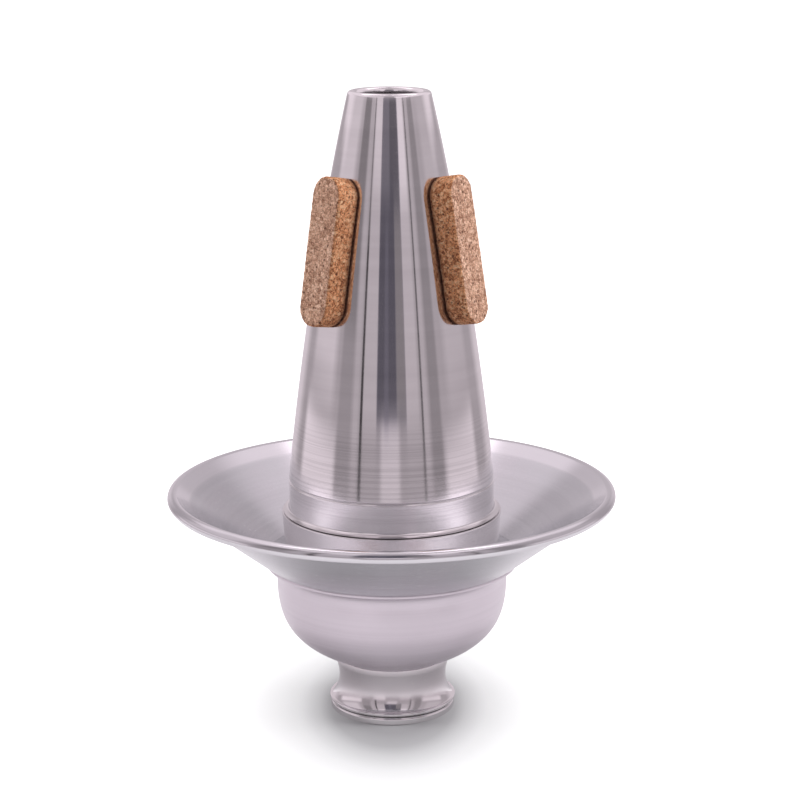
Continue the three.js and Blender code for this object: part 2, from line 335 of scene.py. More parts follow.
def makeCorkGrain():
    # pressed granules: a tone for each, dark seams between them, and a few pits
    tree, desk, entry, exits = newGroup(
        "corkGrain", {"granuleSize": 0.001, "pitShare": 0.2}, ["tone", "seams", "pits", "height"])
    scale = desk.math("DIVIDE", 1.0, entry["granuleSize"])
    place = desk.objectPlace()
    wobble = desk.add("ShaderNodeTexNoise", {"Vector": place, **grain["wobble"]})
    bent = desk.add("ShaderNodeVectorMath", {0: wobble.outputs["Color"], 1: grain["wobbleReach"]},
                    operation="MULTIPLY")
    spot = desk.add("ShaderNodeVectorMath", {0: place, 1: bent.outputs[0]}, operation="ADD").outputs[0]
    cells = desk.add("ShaderNodeTexVoronoi", {"Vector": spot, "Scale": scale})
    split = desk.add("ShaderNodeSeparateColor", {0: cells.outputs["Color"]}).outputs
    edges = desk.add("ShaderNodeTexVoronoi", {"Vector": spot, "Scale": scale}, feature="DISTANCE_TO_EDGE")
    seams = desk.remap(edges.outputs["Distance"], grain["seamCore"], grain["seamEdge"], 1.0, 0.0)
    pitEdge = desk.math("SUBTRACT", 1.0, entry["pitShare"])
    chosen = desk.math("GREATER_THAN", split["Green"], pitEdge)
    core = desk.remap(cells.outputs["Distance"], grain["pitCore"], grain["pitEdge"], 1.0, 0.0)
    pits = desk.math("MULTIPLY", chosen, core)
    fine = desk.noiseTone(place, grain["crumbs"])
    tone = desk.math("MULTIPLY_ADD", desk.math("SUBTRACT", fine, 0.5), grain["crumbTone"], split["Red"])
    height = desk.math("MULTIPLY", seams, grain["seamRise"])
    height = desk.math("MULTIPLY_ADD", fine, grain["crumbRise"], height)
    height = desk.math("MULTIPLY_ADD", pits, grain["pitRise"], height)
    desk.feed(exits["tone"], tone)
    desk.feed(exits["seams"], seams)
    desk.feed(exits["pits"], pits)
    desk.feed(exits["height"], height)
    return tree


turningLines = makeTurningLines()
handlingMarks = makeHandlingMarks()
heightBand = makeHeightBand()
corkGrain = makeCorkGrain()
print("shared effects ready")


def makeAluminium(name, look):
    material, desk, shader = newMaterial(name)
    lines = desk.group(turningLines, fineSpacing=look["fineSpacing"], coarseSpacing=look["coarseSpacing"],
                       ringSpacing=look["ringSpacing"], drift=look["drift"])
    marks = desk.group(handlingMarks, smudgeSize=look["smudgeSize"], scratchAmount=look["scratches"])
    band = desk.group(heightBand, low=look["bandLow"], high=look["bandHigh"], fade=look["bandFade"])["mask"]
    stops = [(look["darkAt"], look["darkTone"]), (look["lightAt"], look["lightTone"])]
    tone = desk.ramp(lines["coarse"], stops)
    smudge = desk.math("MULTIPLY", marks["smudges"], look["smudgeTone"])
    tone = desk.mixColor(smudge, tone, (*look["smudgeColor"], 1))
    rings = desk.remap(lines["ring"], look["ringLow"], look["ringHigh"])
    rings = desk.math("MULTIPLY", rings, look["ringTone"])
    tone = desk.mixColor(desk.math("MULTIPLY", rings, band), tone, (*look["ringColor"], 1))
    # colour painted into the band: shade on the foot's neck, a highlight on the brim's rolled edge
    tone = desk.mixColor(desk.math("MULTIPLY", band, look["paintedBandShare"]), tone, (*look["paintedBandColor"], 1))
    desk.feed(shader["Base Color"], tone)
    rough = desk.math("MULTIPLY_ADD", lines["coarse"], look["lineRoughness"], look["roughness"])
    rough = desk.math("MULTIPLY_ADD", marks["smudges"], look["smudgeRoughness"], rough)
    rough = desk.math("MULTIPLY_ADD", marks["scratches"], look["scratchRoughness"], rough)
    rough = desk.math("MULTIPLY_ADD", band, look["bandRoughness"], rough)
    desk.feed(shader["Roughness"], rough)
    height = desk.math("MULTIPLY_ADD", lines["coarse"], look["coarseShare"], lines["fine"])
    height = desk.math("MULTIPLY", height, desk.math("MULTIPLY_ADD", band, look["bandDepth"], 1.0))
    height = desk.math("MULTIPLY_ADD", marks["scratches"], look["scratchHeight"], height)
    bump = desk.add("ShaderNodeBump", {"Height": height, "Distance": look["lineDepth"]})
    desk.feed(shader["Normal"], bump.outputs[0])
    tangent = desk.add("ShaderNodeTangent", direction_type="RADIAL", axis="Z")
    desk.feed(shader["Tangent"], tangent.outputs[0])
    shader["Metallic"].default_value = 1.0
    shader["Anisotropic"].default_value = look["anisotropy"]
    shader["Anisotropic Rotation"].default_value = look["brushing"]
    return material


polishedLook = {
    "darkTone": (0.74, 0.725, 0.73), "lightTone": (0.82, 0.805, 0.81), "smudgeColor": (0.70, 0.69, 0.695),
    "darkAt": 0.3, "lightAt": 0.7, "ringSpacing": 0.00055, "ringTone": 0.0, "ringLow": 0.46, "ringHigh": 0.62,
    "ringColor": (0.55, 0.54, 0.545), "scratchRoughness": 0.15, "scratchHeight": -0.6,
    "roughness": 0.06, "lineRoughness": 0.05, "smudgeRoughness": 0.04, "smudgeTone": 0.4,
    "smudgeSize": 0.03, "scratches": 0.35, "fineSpacing": 0.00028, "coarseSpacing": 0.004, "drift": 0.25,
    "lineDepth": 0.0000010, "coarseShare": 1.5, "anisotropy": 0.8, "brushing": 0.25,
    "bandLow": 0.0645, "bandHigh": 0.076, "bandFade": 0.010, "bandRoughness": 0.05, "bandDepth": 3.0,
    "paintedBandShare": 0.0, "paintedBandColor": (0.8, 0.8, 0.8),
}
plainLook = {**polishedLook, "bandRoughness": 0.0, "bandDepth": 0.0}
# painted shade: the neck is darker, as it mirrors the table in the shade of the bowl
footLook = {**plainLook, "bandLow": 0.0090, "bandHigh": 0.02, "bandFade": 0.0045, "paintedBandShare": 1.0,
            "bandRoughness": 0.14, "paintedBandColor": (0.65, 0.625, 0.635)}
satinLook = {
    **plainLook, "darkTone": (0.65, 0.612, 0.65), "lightTone": (0.715, 0.673, 0.715),
    "smudgeColor": (0.62, 0.582, 0.62), "roughness": 0.26, "lineRoughness": 0.10, "fineSpacing": 0.00022,
    "coarseSpacing": 0.0016, "lineDepth": 0.000004, "coarseShare": 1.0, "anisotropy": 0.5,
}
brimLook = {
    **satinLook, "darkTone": (0.57, 0.584, 0.597), "lightTone": (0.625, 0.64, 0.656), "roughness": 0.18,
    # painted highlight: the rolled edge is lighter in colour
    "lineDepth": 0.0000025, "drift": 0.5, "bandLow": 0.0593, "bandHigh": 0.065, "bandFade": 0.0006,
    "paintedBandShare": 0.6, "paintedBandColor": (0.80, 0.80, 0.82), "bandRoughness": -0.08,
}
drumLook = {**plainLook, "roughness": 0.14, "lineRoughness": 0.08, "coarseSpacing": 0.0016}

coneLook = {**polishedLook, "ringTone": 0.5}
rawLook = {**satinLook, "darkTone": (0.90, 0.89, 0.90), "lightTone": (0.94, 0.93, 0.94), "roughness": 0.60}

polishedAluminium = makeAluminium("polishedAluminium", coneLook)
footAluminium = makeAluminium("footAluminium", footLook)
brimAluminium = makeAluminium("brimAluminium", brimLook)
satinAluminium = makeAluminium("satinAluminium", satinLook)
drumAluminium = makeAluminium("drumAluminium", drumLook)
rawAluminium = makeAluminium("rawAluminium", rawLook)


def makeCorkMaterial(name, look):
    material, desk, shader = newMaterial(name)
    coarse = desk.group(corkGrain, granuleSize=look["granuleSize"], pitShare=look["pitShare"])
    fine = desk.group(corkGrain, granuleSize=look["crumbSize"], pitShare=look["pitShare"])
    tone = desk.math("MULTIPLY", coarse["tone"], look["granuleShare"])
    tone = desk.math("MULTIPLY_ADD", fine["tone"], look["crumbShare"], tone)
    # painted light and shade: outer faces take the lighter tones, as if lit, and sides the darker, redder
    # tones, as if shaded
    litFaceShare = desk.add("ShaderNodeAttribute", attribute_name="litFaceShare").outputs["Fac"]
    body = desk.mixColor(litFaceShare, desk.ramp(tone, look["shadedSideTones"]), desk.ramp(tone, look["litFaceTones"]))
    dark = desk.math("MULTIPLY", coarse["seams"], look["seamDarkness"])
    dark = desk.math("MAXIMUM", dark, desk.math("MULTIPLY", fine["pits"], look["pitDarkness"]))
    dark = desk.math("MAXIMUM", dark, desk.math("MULTIPLY", coarse["pits"], look["pitDarkness"]))
    # painted shade: the cork darkens where it meets the cone
    coneShade = desk.add("ShaderNodeAttribute", attribute_name="coneShade").outputs["Fac"]
    dark = desk.math("MAXIMUM", dark, desk.math("MULTIPLY", coneShade, look["coneShadeDarkness"]))
    desk.feed(shader["Base Color"], desk.mixColor(dark, body, (*look["darkTone"], 1)))
    desk.feed(shader["Roughness"], desk.remap(tone, 0.0, 1.0, look["darkRoughness"], look["lightRoughness"]))
    height = desk.math("MULTIPLY_ADD", fine["height"], look["crumbRise"], coarse["height"])
    bump = desk.add("ShaderNodeBump", {"Height": height, "Distance": look["depth"]})
    desk.feed(shader["Normal"], bump.outputs[0])
    shader["Specular IOR Level"].default_value = look["specular"]
    return material


corkLook = {
    "granuleSize": 0.00085, "crumbSize": 0.00034, "pitShare": 0.10, "seamDarkness": 0.32, "pitDarkness": 0.9,
    "darkTone": (0.10, 0.045, 0.03), "depth": 0.00016, "coneShadeDarkness": 0.85, "granuleShare": 0.55,
    "crumbShare": 0.45, "crumbRise": 0.5, "darkRoughness": 0.95, "lightRoughness": 0.8, "specular": 0.25,
    # painted shade on the sides, painted light on the outer faces
    "shadedSideTones": [(0.1, (0.26, 0.085, 0.04)), (0.35, (0.67, 0.27, 0.125)), (0.6, (0.97, 0.44, 0.225)),
                  (0.9, (1.0, 0.62, 0.37))],
    "litFaceTones": [(0.1, (0.30, 0.14, 0.09)), (0.35, (0.585, 0.325, 0.225)), (0.6, (0.76, 0.445, 0.315)),
                  (0.9, (1.0, 0.66, 0.50))],
}
pressedCork = makeCorkMaterial("pressedCork", corkLook)


def makeFelt(name, look):
    material, desk, shader = newMaterial(name)
    place = desk.objectPlace()
    stretched = desk.add("ShaderNodeMapping", {"Vector": place, "Scale": look["stretch"]}).outputs[0]
    fibres = desk.noiseTone(stretched, look["fibres"])
    clumps = desk.noiseTone(place, look["clumps"])
    tone = desk.math("MULTIPLY", fibres, look["fibreShare"])
    tone = desk.math("MULTIPLY_ADD", clumps, look["clumpShare"], tone)
    desk.feed(shader["Base Color"], desk.ramp(tone, look["tones"]))
    height = desk.math("MULTIPLY_ADD", clumps, look["clumpRise"], fibres)
    bump = desk.add("ShaderNodeBump", {"Height": height, "Distance": look["depth"]})
    desk.feed(shader["Normal"], bump.outputs[0])
    desk.feed(shader["Roughness"], desk.remap(fibres, 0.0, 1.0, look["roughness"], 1.0))
    shader["Sheen Weight"].default_value = look["sheen"]
    shader["Specular IOR Level"].default_value = look["specular"]
    return material


feltLook = {
    "stretch": (1.0, 1.0, 0.35), "fibres": {"Scale": 5200.0, "Detail": 5.0, "Distortion": 1.8},
    "clumps": {"Scale": 700.0, "Detail": 3.0}, "fibreShare": 0.6, "clumpShare": 0.4, "clumpRise": 0.5,
    "tones": [(0.3, (0.02, 0.018, 0.02)), (0.7, (0.075, 0.07, 0.075))],
    "depth": 0.00015, "roughness": 0.85, "sheen": 0.3, "specular": 0.1,
}
darkFelt = makeFelt("darkFelt", feltLook)
print("materials ready")


def finishPiece(piece, material, body, node):
    piece.data.materials.clear()
    piece.data.materials.append(material)
    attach(piece, body)
    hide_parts(node)


# Camera, at the height and distance from which the picture was taken
view = {"place": (0.0024, -0.5712, 0.2236), "pitch": 0.2368, "roll": -0.0045, "lens": 99.2,
        "clipStart": 0.05}


def makeCamera():
    data = bpy.data.cameras.new("camera")
    data.lens = view["lens"]
    data.clip_start = view["clipStart"]
    camera = bpy.data.objects.new("camera", data)
    bpy.context.collection.objects.link(camera)
    tilt = Matrix.Rotation(math.pi / 2 - view["pitch"], 4, "X")
    camera.matrix_world = Matrix.Translation(view["place"]) @ tilt @ Matrix.Rotation(view["roll"], 4, "Z")
    bpy.context.scene.camera = camera


makeCamera()
print("camera placed")

# Foot: a dished base, and a waisted shell that flares to a beaded edge above it
foot = {"topRadius": 0.01535, "topHeight": 0.0012, "waistRadius": 0.01405, "edgeHeight": 0.0011,
        "lowUp": 0.17, "highDown": 0.36, "boreRadius": 0.0025, "beadRadius": 0.0005,
        "flareOut": 0.00075, "flareIn": 0.0022, "flareUp": 0.15, "waistIn": 0.00175, "waistUp": 0.5,
        "rimTurn": math.pi * 0.62}
base = {"height": 0.0022, "edgeRadius": 0.0004, "dishRadius": 0.0124, "dishDepth": 0.0006, "seatGap": 0.0003,
        "topRound": 0.0009}
rivet = {"headRadius": 0.0045, "headHeight": 0.0015, "tailRadius": 0.0038, "tailHeight": 0.0012,
         "shankRadius": 0.0022}


def footInside():
    low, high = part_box("foot_shell")
    edge = rz(high.x, low.z + foot["edgeHeight"])
    neckTop = high.z - foot["topHeight"]
    rise = neckTop - edge.y
    waist = foot["waistRadius"]
    neck = cubic(edge, rz(waist, edge.y + rise * foot["lowUp"]), rz(waist, neckTop - rise * foot["highDown"]),
                 rz(foot["topRadius"], neckTop))
    return offsetOutline(joinPoints(neck, rz(foot["topRadius"], high.z), rz(foot["boreRadius"], high.z)),
                         turning["sheet"])


def makeFootShell():
    low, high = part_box("foot_shell")
    bead = foot["beadRadius"]
    top = foot["topRadius"]
    neckTop = high.z - foot["topHeight"]
    rim = arcPoints(rz(high.x - bead, low.z + bead), bead, -math.pi / 2, foot["rimTurn"])
    flareFoot = rz(high.x - foot["flareOut"], rim[-1].y)
    rise = neckTop - flareFoot.y
    flare = cubic(flareFoot, rz(high.x - foot["flareIn"], flareFoot.y + rise * foot["flareUp"]),
                  rz(top - foot["waistIn"], flareFoot.y + rise * foot["waistUp"]), rz(top, neckTop),
                  steps=48)
    lap = high.z + turning["lap"]
    skin = joinPoints(rim, flare, rz(top, lap), rz(foot["boreRadius"], lap))
    piece = turnedMesh("footShell", skin + footInside()[::-1])
    finishPiece(piece, footAluminium, "cup", "foot_shell")


def makeFootBase():
    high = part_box("foot_base")[1]
    sheet = turning["sheet"]
    edge = base["edgeRadius"]
    dish = base["dishRadius"]
    depth = base["dishDepth"]
    plug = radiusAt(footInside(), high.z) - base["seatGap"]
    corner = arcPoints(rz(high.x - edge, edge), edge, -math.pi / 2, 0)
    bend = base["topRound"]
    shoulder = arcPoints(rz(high.x - bend, base["height"] - bend), bend, 0, math.pi / 2)
    outline = joinPoints(
        rz(0, depth), rz(dish, depth), rz(dish + depth, 0), corner, shoulder,
        rz(plug, base["height"]), rz(plug, high.z), rz(plug - sheet, high.z),
        rz(plug - sheet, sheet), rz(dish + depth / 2, sheet), rz(dish - depth / 2, sheet + depth),
        rz(0, sheet + depth))
    piece = turnedMesh("footBase", outline, closed=False)
    finishPiece(piece, footAluminium, "cup", "foot_base")


def makeRivet():
    low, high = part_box("foot_rivet")
    head = rivet["headRadius"]
    tail = rivet["tailRadius"]
    shank = rivet["shankRadius"]
    headBottom = high.z - rivet["headHeight"]
    tailTop = low.z + rivet["tailHeight"]
    outline = joinPoints(
        rz(0, low.z), rz(tail, low.z), rz(tail, tailTop), rz(shank, tailTop), rz(shank, headBottom),
        quadratic(rz(head, headBottom), rz(head, high.z), rz(0, high.z)))
    piece = turnedMesh("footRivet", outline, closed=False)
    finishPiece(piece, satinAluminium, "cup", "foot_rivet")


makeFootShell()
makeFootBase()
makeRivet()
print("foot made")

# Bowl: a flat floor, a round belly, a straight wall and a flared lip under the brim
bowl = {"floorRadius": 0.0158, "floorRise": 0.0003, "wallRadius": 0.0311, "lipDrop": 0.0044,
        "reach": 0.79, "lift": 0.236, "drop": 0.5, "lipRound": 0.00045, "skinTrim": 3, "insideTrim": 4}


def makeBowl():
    low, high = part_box("cup_bowl")
    floor = bowl["floorRadius"]
    rise = bowl["floorRise"]
    wall = bowl["wallRadius"]
    lipUnder = high.z - turning["sheet"]
    wallTop = lipUnder - bowl["lipDrop"]
    depth = wallTop - low.z - rise
    belly = cubic(rz(floor, low.z + rise),
                  rz(floor + (wall - floor) * bowl["reach"], low.z + rise + depth * bowl["lift"]),
                  rz(wall, wallTop - depth * bowl["drop"]), rz(wall, wallTop), steps=48)
    lip = quadratic(rz(wall, wallTop), rz(wall, lipUnder), rz(high.x, lipUnder))
    skin = joinPoints(rz(foot["boreRadius"], low.z), rz(floor - rise, low.z), belly, lip)
    inside = offsetOutline(skin, turning["sheet"])
    edge = bowl["lipRound"]
    lap = high.z + turning["lap"]
    rim = joinPoints(arcPoints(rz(high.x - edge, lipUnder + edge), edge, -math.pi / 2, 0, steps=8),
                     arcPoints(rz(high.x - edge, lap - edge), edge, 0, math.pi / 2, steps=8))
    # the rim takes the place of the last points on either side
    outside = skin[:-bowl["skinTrim"]]
    back = inside[:-bowl["insideTrim"]][::-1]
    piece = turnedMesh("cupBowl", joinPoints(outside, rim, rz(high.x - 2 * edge, lap), back))
    finishPiece(piece, satinAluminium, "cup", "cup_bowl")


makeBowl()
print("bowl made")

# Brim: a flat ring that sweeps out and up to a rolled edge
brim = {"holeRadius": 0.02909, "bendRadius": 0.0344, "beadRadius": 0.00165, "beadDrop": 0.00161,
        "edgeDegrees": 38, "out": 0.57, "up": 0.555, "beadOut": 0.00004, "rollLap": 0.01}


def makeBrim():
    # the sheet runs into the top of its bead, so that the inner face is smooth up to the edge
    low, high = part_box("cup_brim")
    bend = brim["bendRadius"]
    bead = brim["beadRadius"]
    tilt = math.radians(brim["edgeDegrees"])
    centre = rz(high.x - bead + brim["beadOut"], high.z - brim["beadDrop"])
    up = rz(-math.sin(tilt), math.cos(tilt))
    edge = centre + up * (bead - turning["sheet"])
    handle = rz(bend + (edge.x - bend) * brim["out"], low.z + (edge.y - low.z) * brim["up"])
    skin = joinPoints(rz(brim["holeRadius"], low.z), quadratic(rz(bend, low.z), handle, edge, steps=48))
    inside = offsetOutline(skin[:-1], turning["sheet"])
    free = clearOfBead(skin, centre, bead)
    # the roll runs from under the dish round the outside and up to the sheet's own edge
    start = math.atan2(*(free[-1] - centre).yx) - 2 * math.pi
    roll = arcPoints(centre, bead, start, -1.5 * math.pi + tilt + brim["rollLap"], steps=48)
    piece = turnedMesh("cupBrim", joinPoints(free, roll, inside[::-1]))
    finishPiece(piece, brimAluminium, "cup", "cup_brim")


makeBrim()
print("brim made")

# Friction lining: a felt ring between the bowl's wall and the drum
lining = {"lowInner": 0.02833, "highInner": 0.02874, "middle": 0.02905, "fuzz": 0.00008, "fuzzScale": 900,
          "sideSteps": 12}


def makeLining():
    low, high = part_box("friction_lining")
    outline = [rz(lining["lowInner"], low.z), rz(high.x, low.z), rz(high.x, high.z),
               rz(lining["highInner"], high.z)]
    steps = lining["sideSteps"]
    side = []
    for start, end in zip(outline, outline[1:] + outline[:1]):
        side += [start.lerp(end, i / steps) for i in range(steps)]
    piece = turnedMesh("frictionLining", side)
    halfway = Vector((0, 0, (low.z + high.z) / 2))
    for vertex in piece.data.vertices:
        pull = 1 + noise.noise(vertex.co * lining["fuzzScale"])
        inward = halfway + vertex.co.xy.normalized().to_3d() * lining["middle"] - vertex.co
        vertex.co += inward.normalized() * lining["fuzz"] * pull
    finishPiece(piece, darkFelt, "lining", "friction_lining")


makeLining()
print("lining made")

# Drum: the closed end of the straight mute, which stands in the bowl
drum = {"bottomRadius": 0.0274, "cornerRadius": 0.006}


def makeDrum():
    low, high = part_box("end_drum")
    corner = drum["cornerRadius"]
    turn = arcPoints(rz(drum["bottomRadius"] - corner, low.z + corner), corner, -math.pi / 2, 0, steps=24)
    skin = joinPoints(rz(0, low.z), turn, rz(high.x, high.z + turning["lap"]))
    inside = offsetOutline(skin, turning["sheet"])
    piece = turnedMesh("endDrum", skin + inside[::-1], closed=False)
    finishPiece(piece, drumAluminium, "mute", "end_drum")


makeDrum()
print("drum made")

# Cone: a skirt inside the drum, a lip over its edge, a band, a crease and the tapering wall
cone = {"skirtRadius": 0.028, "skirtDepth": 0.004, "lipRadius": 0.0291, "lipEdge": 0.0004,
        "radius": 0.0275, "lipHeight": 0.0023, "lipRise": 0.0011, "bandHeight": 0.006, "creaseWidth": 0.0008,
        "creaseDepth": 0.0003, "mouthRadius": 0.01095, "beadRadius": 0.00115, "height": 0.11125,
        "lowIn": 0.22, "lowUp": 0.34, "highOut": 0.41, "highDown": 0.29, "lipIn": 0.92, "lipSoft": 1.3,
        "creaseReach": 1.3, "creaseSoft": 0.0002, "beadHeight": 0.0016}


def coneWallOutline():
    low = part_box("cone_shell")[0]
    drumTop = low.z + cone["skirtDepth"]
    bottom = drumTop + cone["lipHeight"] + cone["bandHeight"] + cone["creaseWidth"]
    top = drumTop + cone["height"]
    rise = top - bottom
    narrowing = cone["radius"] - cone["mouthRadius"]
    return cubic(
        rz(cone["radius"], bottom),
        rz(cone["radius"] - narrowing * cone["lowIn"], bottom + rise * cone["lowUp"]),
        rz(cone["mouthRadius"] + narrowing * cone["highOut"], top - rise * cone["highDown"]),
        rz(cone["mouthRadius"], top), steps=72)


def makeCone():
    low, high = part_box("cone_shell")
    skirt = cone["skirtRadius"]
    sheet = turning["sheet"]
    drumTop = low.z + cone["skirtDepth"]
    lip = cone["lipRadius"]
    edge = cone["lipEdge"]
    lipTop = drumTop + cone["lipHeight"]
    wall = coneWallOutline()
    crease = wall[0].y - cone["creaseWidth"]
    shoulder = quadratic(
        rz(lip, drumTop + edge),
        rz(lip - (lip - cone["radius"]) * cone["lipIn"], drumTop + edge * cone["lipSoft"]),
        rz(cone["radius"], drumTop + cone["lipRise"]))
    valley = cone["radius"] - cone["creaseDepth"] * cone["creaseReach"]
    soft = cone["creaseSoft"]
    groove = cubic(rz(cone["radius"], crease), rz(valley, crease + soft), rz(valley, wall[0].y - soft),
                   wall[0], steps=12)
    skin = joinPoints(rz(skirt, low.z), rz(skirt, drumTop), rz(lip - edge, drumTop), shoulder, groove, wall)
    inside = joinPoints(rz(skirt - sheet, low.z), rz(skirt - sheet, drumTop),
                        rz(cone["radius"] - cone["creaseDepth"] - sheet, lipTop), offsetOutline(wall, sheet))
    piece = turnedMesh("coneShell", rolledEdge(skin, inside, cone["beadRadius"]))
    finishPiece(piece, polishedAluminium, "mute", "cone_shell")
    # the faces inside the cone are left unpolished, up to the bead at its mouth
    piece.data.materials.append(rawAluminium)
    for polygon in piece.data.polygons:
        inner = polygon.normal.xy.dot(polygon.center.xy) < 0
        if inner and polygon.center.z < high.z - cone["beadHeight"]:
            polygon.material_index = 1


makeCone()
print("cone made")

# Corks: strips glued to the cone, with soft edges, open grain and small pits; their outer faces are painted
# lighter, as if lit, and their sides darker and redder, as if shaded
corks = {"voxel": 0.00032, "smooth": 3, "grain": 0.00006, "pitDepth": 0.00016, "granule": 900,
         "pitEvery": 0.72, "faceRise": 0.1708, "faceStart": 0.80, "faceFull": 0.96,
         "seamSharp": 4, "pitSharp": 2, "cellSpread": 3.7, "glueHeight": 0.0004, "grainRise": 0.0008,
         "coneShadeReach": 0.0014, "endWide": 0.0050, "endLong": 0.0058}


def voxelShape(piece, relaxing):
    remesh = piece.modifiers.new("remesh", "REMESH")
    remesh.mode = "VOXEL"
    remesh.voxel_size = corks["voxel"]
    if relaxing:
        relax = piece.modifiers.new("relax", "SMOOTH")
        relax.iterations = relaxing
    bpy.context.view_layer.update()
    shaped = piece.evaluated_get(bpy.context.evaluated_depsgraph_get())
    mesh = bpy.data.meshes.new_from_object(shaped)
    piece.modifiers.clear()
    piece.data = mesh


def roundEnds(mesh, middle, outward):
    # pulls the four corners of the strip in to arcs, seen from its front
    along = (Vector((0, 0, 1)) - outward * outward.z).normalized()
    across = outward.cross(along)
    halfWidth = max(abs((vertex.co - middle).dot(across)) for vertex in mesh.vertices)
    radius = min(corks["endWide"], halfWidth)
    squash = radius / corks["endLong"]
    longest = max(abs((vertex.co - middle).dot(along)) for vertex in mesh.vertices) - corks["endLong"]
    widest = halfWidth - radius
    for vertex in mesh.vertices:
        reach = (vertex.co - middle).dot(along)
        side = (vertex.co - middle).dot(across)
        far = Vector(((abs(reach) - longest) * squash, abs(side) - widest))
        if min(far) > 0 and far.length > radius:
            near = far * (radius / far.length)
            vertex.co -= along * math.copysign((far.x - near.x) / squash, reach)
            vertex.co -= across * math.copysign(far.y - near.y, side)


def clamp(value):
    return max(0, min(1, value))


def makeCork(name, node, seed):
    strip = bmesh.new()
    strip.from_mesh(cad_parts[node].data)
    bmesh.ops.remove_doubles(strip, verts=strip.verts, dist=turning["sameSpot"])
    piece = newObject(name, strip)
    middle = sum((Vector(corner) for corner in piece.bound_box), Vector()) / 8
    outward = (middle.xy.normalized().to_3d() + Vector((0, 0, corks["faceRise"]))).normalized()
    # an even mesh to move the corners of, and another to even out what was moved
    voxelShape(piece, 0)
    roundEnds(piece.data, middle, outward)
    voxelShape(piece, corks["smooth"])
    fine = piece.data
    wall = coneWallOutline()
    litFaceShare = fine.attributes.new("litFaceShare", "FLOAT", "POINT").data
    coneShade = fine.attributes.new("coneShade", "FLOAT", "POINT").data
    moves = []
    for vertex in fine.vertices:
        spot = vertex.co * corks["granule"] + Vector((seed, 0, 0))
        distances, points = noise.voronoi(spot)
        depth = corks["grain"] * max(0, 1 - (distances[1] - distances[0]) * corks["seamSharp"])
        if noise.cell(points[0] * corks["cellSpread"]) > corks["pitEvery"]:
            depth += corks["pitDepth"] * max(0, 1 - distances[0] * corks["pitSharp"])
        off = vertex.co.xy.length - radiusAt(wall, vertex.co.z) - corks["glueHeight"]
        moves.append(vertex.normal * -depth * clamp(off / corks["grainRise"]))
        # how far the point faces outward, which picks its painted light: lit face or shaded side
        facing = (vertex.normal.dot(outward) - corks["faceStart"]) / (corks["faceFull"] - corks["faceStart"])
        litFaceShare[vertex.index].value = clamp(facing)
        # painted shade, darkest right next to the cone
        coneShade[vertex.index].value = clamp(1 - off / corks["coneShadeReach"])
    for vertex, move in zip(fine.vertices, moves):
        vertex.co += move
    for polygon in fine.polygons:
        polygon.use_smooth = True
    finishPiece(piece, pressedCork, "mute", node)


makeCork("corkLeft", "cork_left", seed=3.1)
makeCork("corkRight", "cork_right", seed=17.7)
makeCork("corkBack", "cork_back", seed=41.3)
print("corks made")

# Studio: a white table, soft lamps, and a light tent of greys that only the metal mirrors, which paints the
# metal's reflections: its stripes and highlights
# tints of the painted reflections in the metal, and of the table as the metal mirrors it
tints = {"tent": (1.0, 0.887, 0.957), "cool": (0.93, 0.84, 1.06)}
paper = {
    "radius": 4.0, "segments": 128, "color": (0.47, 0.465, 0.48, 1), "specular": 0.2,
    "fibres": {"Scale": 900.0, "Detail": 3.0}, "roughness": (0.7, 0.8),
    "mirrorNear": 0.09, "mirrorFar": 0.45, "nearReach": 0.021, "farReach": 0.060,
    # what the camera sees of it glows by distance from the axis, so that it turns white; the shade round the
    # foot is partly the lamps' shadow and partly painted by how slowly this glow rises
    "glow": [(0.012, 0.0), (0.017, 0.10), (0.0202, 0.28), (0.0255, 0.50), (0.031, 0.62),
             (0.0395, 0.77), (0.055, 0.92), (0.075, 1.0)],
    "whiteReach": 0.075, "frontReach": 0.54,
}


def makeTable():
    mesh = bmesh.new()
    bmesh.ops.create_circle(mesh, cap_ends=True, segments=paper["segments"], radius=paper["radius"])
    table = newObject("table", mesh)
    material, desk, shader = newMaterial("whitePaper")
    place = desk.objectPlace()
    fibres = desk.noiseTone(place, paper["fibres"])
    desk.feed(shader["Roughness"], desk.remap(fibres, 0.0, 1.0, *paper["roughness"]))
    shader["Base Color"].default_value = paper["color"]
    shader["Specular IOR Level"].default_value = paper["specular"]
    seen = desk.add("ShaderNodeLightPath").outputs
    mirrored = desk.math("MAXIMUM", seen["Is Glossy Ray"], seen["Is Transmission Ray"])
    distance = desk.add("ShaderNodeVectorMath", {0: place}, operation="LENGTH").outputs["Value"]
    # squashed, so that the painted shade round the foot reaches further in front and behind than at its sides
    values = {0: place, 1: (1, paper["frontReach"], 1)}
    squashed = desk.add("ShaderNodeVectorMath", values, operation="MULTIPLY").outputs[0]
    away = desk.add("ShaderNodeVectorMath", {0: squashed}, operation="LENGTH").outputs["Value"]
    white = paper["whiteReach"]
    stops = [(reach / white, (tone, tone, tone)) for reach, tone in paper["glow"]]
    shown = desk.math("MULTIPLY", seen["Is Camera Ray"], desk.ramp(desk.math("DIVIDE", away, white), stops))
    # painted shade in reflections: what the metal mirrors of the table glows less near the foot
    mirroredGlow = desk.remap(distance, paper["nearReach"], paper["farReach"], paper["mirrorNear"],
                        paper["mirrorFar"])
    glowing = desk.math("MULTIPLY_ADD", mirrored, mirroredGlow, shown)
    tint = desk.mixColor(mirrored, (1, 1, 1, 1), (*tints["tent"], 1))
    desk.feed(shader["Emission Color"], tint)
    desk.feed(shader["Emission Strength"], glowing)
    material.cycles.emission_sampling = "NONE"
    table.data.materials.append(material)


